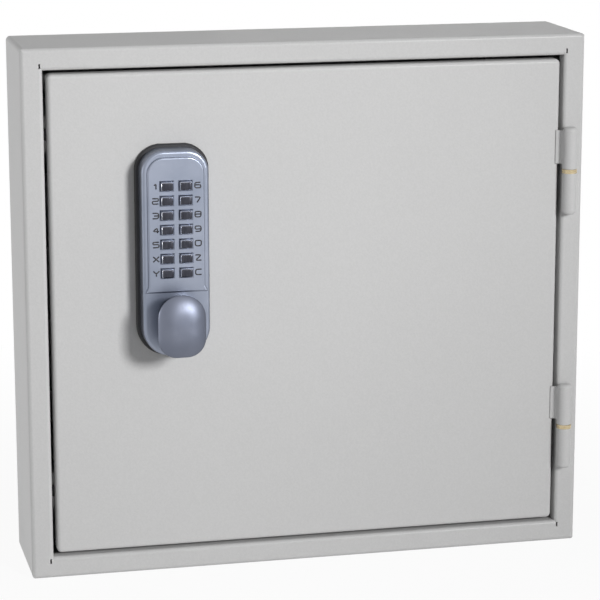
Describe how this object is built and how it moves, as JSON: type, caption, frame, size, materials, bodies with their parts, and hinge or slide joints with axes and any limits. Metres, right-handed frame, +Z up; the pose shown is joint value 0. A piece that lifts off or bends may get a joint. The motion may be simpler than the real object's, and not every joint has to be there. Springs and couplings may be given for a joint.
{
  "type": "key cabinet",
  "caption": "Wall-mounted steel key cabinet with hook bars inside a flush right-hung door, closed by a mechanical push-button lock with a turn knob.",
  "frame": {"origin": "centre of the four wall-fixing holes, on the back plane that lies against the wall", "axes": "+Z up, +X to the right seen from the front, +Y into the wall; the door faces -Y"},
  "size_m": [0.38, 0.1153, 0.355],
  "materials": {
    "powder_coat": "light warm grey fine-textured powder coat",
    "brass": "turned brass",
    "black_rubber": "matt black moulded rubber",
    "satin_lock_metal": "satin silver plated casting",
    "button_metal": "dark polished plating",
    "cast_chassis": "as-cast zinc alloy",
    "bar_paint": "grey powder coat",
    "zinc_steel": "bright zinc plated steel"
  },
  "bodies": {
    "cabinet": {"back_panel": "powder_coat", "bar_screws": "zinc_steel", "cabinet_shell": "powder_coat", "door_buffers": "black_rubber", "door_stop_lower": "powder_coat", "door_stop_upper": "powder_coat", "hinge_knuckle_frame_lower": "powder_coat", "hinge_knuckle_frame_upper": "powder_coat", "hinge_pin_lower": "zinc_steel", "hinge_pin_upper": "zinc_steel", "hinge_washer_lower": "brass", "hinge_washer_upper": "brass", "hook_bar_1": "bar_paint", "hook_bar_2": "bar_paint", "hook_bar_3": "bar_paint", "hook_bar_4": "bar_paint", "hook_bar_5": "bar_paint", "hook_bar_6": "bar_paint", "hook_rail_left": "zinc_steel", "hook_rail_right": "zinc_steel", "key_hooks_1": "zinc_steel", "key_hooks_2": "zinc_steel", "key_hooks_3": "zinc_steel", "key_hooks_4": "zinc_steel", "key_hooks_5": "zinc_steel", "key_hooks_6": "zinc_steel"},
    "door": {"door_panel": "powder_coat", "hinge_knuckle_door_upper": "powder_coat", "hinge_knuckle_door_lower": "powder_coat", "lock_gasket": "black_rubber", "lock_housing": "satin_lock_metal", "code_chassis": "cast_chassis", "lock_plate": "zinc_steel", "lock_fixing_bolts": "zinc_steel", "spindle_bush": "brass", "bolt_guide_left": "zinc_steel", "bolt_guide_right": "zinc_steel", "guide_nuts": "zinc_steel"},
    "knob": {"lock_knob": "satin_lock_metal", "knob_spindle": "zinc_steel", "lock_crank": "zinc_steel", "crank_screw": "zinc_steel"},
    "bolt": {"locking_bolt": "zinc_steel"},
    "button_0": {"button_0": "button_metal"},
    "button_1": {"button_1": "button_metal"},
    "button_2": {"button_2": "button_metal"},
    "button_3": {"button_3": "button_metal"},
    "button_4": {"button_4": "button_metal"},
    "button_5": {"button_5": "button_metal"},
    "button_6": {"button_6": "button_metal"},
    "button_7": {"button_7": "button_metal"},
    "button_8": {"button_8": "button_metal"},
    "button_9": {"button_9": "button_metal"},
    "button_c": {"button_c": "button_metal"},
    "button_x": {"button_x": "button_metal"},
    "button_y": {"button_y": "button_metal"},
    "button_z": {"button_z": "button_metal"}
  },
  "joints": [
    {"name": "door_swing", "type": "hinge", "parent": "cabinet", "child": "door", "pos_m": [0.179, -0.0804, 0], "axis": [0, 0, 1], "range_deg": [0, 175]},
    {"name": "knob_turn", "type": "hinge", "parent": "door", "child": "knob", "pos_m": [-0.093, -0.08, -0.0015], "axis": [0, -1, 0], "range_deg": [0, 90]},
    {"name": "bolt_throw", "type": "slide", "parent": "door", "child": "bolt", "axis": [-1, 0, 0], "range_m": [0, 0.016]},
    {"name": "button_0_press", "type": "slide", "parent": "door", "child": "button_0", "axis": [0, 1, 0], "range_m": [0, 0.0018], "stiffness_N_per_m": 250},
    {"name": "button_1_press", "type": "slide", "parent": "door", "child": "button_1", "axis": [0, 1, 0], "range_m": [0, 0.0018], "stiffness_N_per_m": 250},
    {"name": "button_2_press", "type": "slide", "parent": "door", "child": "button_2", "axis": [0, 1, 0], "range_m": [0, 0.0018], "stiffness_N_per_m": 250},
    {"name": "button_3_press", "type": "slide", "parent": "door", "child": "button_3", "axis": [0, 1, 0], "range_m": [0, 0.0018], "stiffness_N_per_m": 250},
    {"name": "button_4_press", "type": "slide", "parent": "door", "child": "button_4", "axis": [0, 1, 0], "range_m": [0, 0.0018], "stiffness_N_per_m": 250},
    {"name": "button_5_press", "type": "slide", "parent": "door", "child": "button_5", "axis": [0, 1, 0], "range_m": [0, 0.0018], "stiffness_N_per_m": 250},
    {"name": "button_6_press", "type": "slide", "parent": "door", "child": "button_6", "axis": [0, 1, 0], "range_m": [0, 0.0018], "stiffness_N_per_m": 250},
    {"name": "button_7_press", "type": "slide", "parent": "door", "child": "button_7", "axis": [0, 1, 0], "range_m": [0, 0.0018], "stiffness_N_per_m": 250},
    {"name": "button_8_press", "type": "slide", "parent": "door", "child": "button_8", "axis": [0, 1, 0], "range_m": [0, 0.0018], "stiffness_N_per_m": 250},
    {"name": "button_9_press", "type": "slide", "parent": "door", "child": "button_9", "axis": [0, 1, 0], "range_m": [0, 0.0018], "stiffness_N_per_m": 250},
    {"name": "button_c_press", "type": "slide", "parent": "door", "child": "button_c", "axis": [0, 1, 0], "range_m": [0, 0.0018], "stiffness_N_per_m": 250},
    {"name": "button_x_press", "type": "slide", "parent": "door", "child": "button_x", "axis": [0, 1, 0], "range_m": [0, 0.0018], "stiffness_N_per_m": 250},
    {"name": "button_y_press", "type": "slide", "parent": "door", "child": "button_y", "axis": [0, 1, 0], "range_m": [0, 0.0018], "stiffness_N_per_m": 250},
    {"name": "button_z_press", "type": "slide", "parent": "door", "child": "button_z", "axis": [0, 1, 0], "range_m": [0, 0.0018], "stiffness_N_per_m": 250}
  ],
  "couplings": [
    {"joint": "bolt_throw", "follows": "knob_turn", "m_per_rad": 0.010173}
  ]
}
